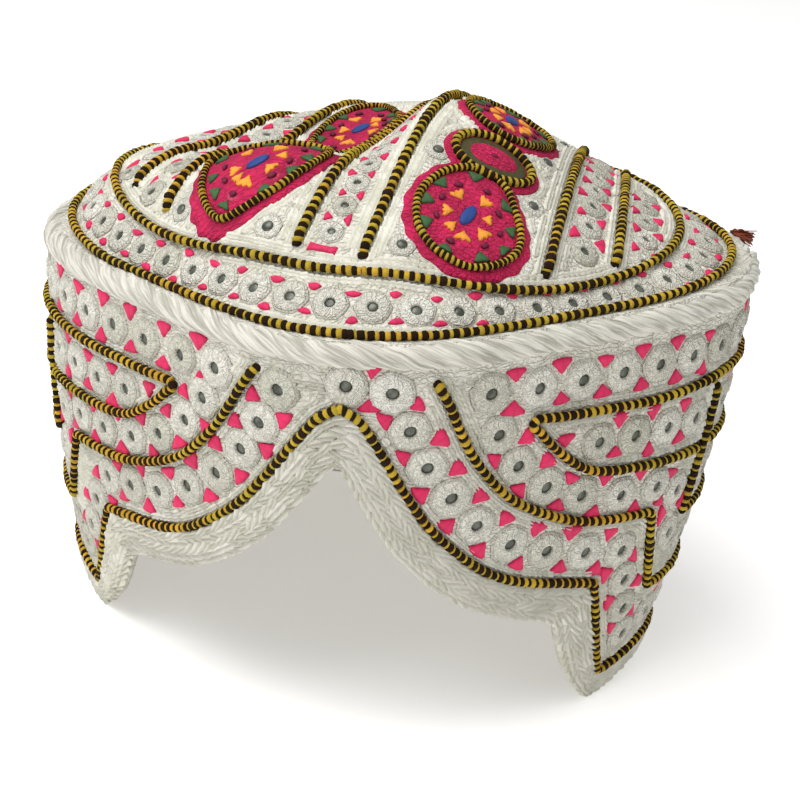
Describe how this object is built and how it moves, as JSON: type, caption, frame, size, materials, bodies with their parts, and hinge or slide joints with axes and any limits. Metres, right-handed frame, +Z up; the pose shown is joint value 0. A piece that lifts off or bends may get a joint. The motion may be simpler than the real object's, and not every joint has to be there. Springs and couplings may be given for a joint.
{
  "type": "embroidered prayer cap",
  "caption": "Round prayer cap with a tall stiff band, an arched front between two pointed tabs, a white rope rim, a tented crown and raised whipped cords.",
  "frame": {"origin": "centre of the bounding box on the floor that the hem stands on", "axes": "+Z up, -Y towards the front arch, +X to the cap's right as the picture shows it"},
  "size_m": [0.2061, 0.1879, 0.1623],
  "materials": {
    "cotton_cloth": "matt quilted cotton covered with white chain stitch",
    "rope_thread": "matt white cotton rope",
    "whipped_thread": "thread in dark brown and yellow turns",
    "pink_thread": "satin stitched pink thread",
    "tassel_thread": "loose dark red thread"
  },
  "bodies": {
    "root": {"side_band": "cotton_cloth", "hem_edging": "cotton_cloth", "crown": "cotton_cloth", "rim_rope": "rope_thread", "crown_outer_cord": "whipped_thread", "crown_inner_cord": "whipped_thread", "divider_middle_left": "whipped_thread", "divider_middle_right": "whipped_thread", "divider_panel_left": "whipped_thread", "divider_panel_right": "whipped_thread", "divider_side_left": "whipped_thread", "divider_side_right": "whipped_thread", "arch_cord": "whipped_thread", "shoulder_cord": "whipped_thread", "side_cord": "whipped_thread", "leaf_upper_cord": "whipped_thread", "back_middle_cord": "whipped_thread", "leaf_lower_cord_left": "whipped_thread", "leaf_lower_cord_right": "whipped_thread", "medallion_front_left": "pink_thread", "medallion_disc_left": "pink_thread", "medallion_back_left": "pink_thread", "medallion_front_right": "pink_thread", "medallion_disc_right": "pink_thread", "medallion_back_right": "pink_thread", "rim_tassel": "tassel_thread"}
  },
  "joints": []
}
